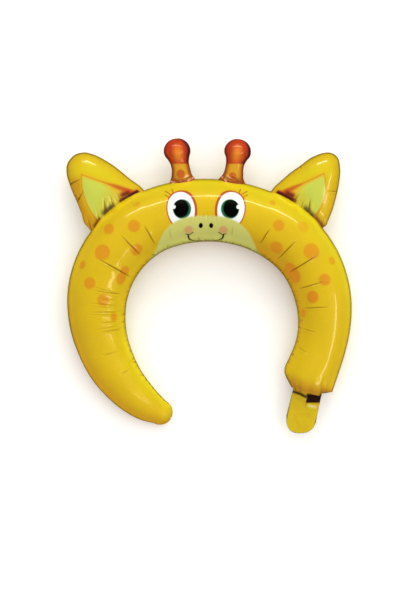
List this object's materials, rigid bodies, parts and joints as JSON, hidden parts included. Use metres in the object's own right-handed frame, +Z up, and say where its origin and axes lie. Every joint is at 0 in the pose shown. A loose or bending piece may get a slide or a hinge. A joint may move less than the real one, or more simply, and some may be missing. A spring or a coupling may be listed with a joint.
{
  "type": "animal-shaped foil balloon headband",
  "caption": "Inflated foil balloon band bent to a C, with ears and knobbed horns along its top, one rounded end, one square end and a flat filling tail.",
  "frame": {"origin": "middle of the footprint, on the surface that the balloon lies on", "axes": "+Z up through the printed face, +Y from the open ends of the band to the horns, +X to the side with the filling tail"},
  "size_m": [0.3416, 0.3536, 0.0692],
  "materials": {
    "printed_film": "glossy metallised film, printed in yellow with orange spots"
  },
  "bodies": {
    "root": {"balloon_envelope": "printed_film"}
  },
  "joints": []
}
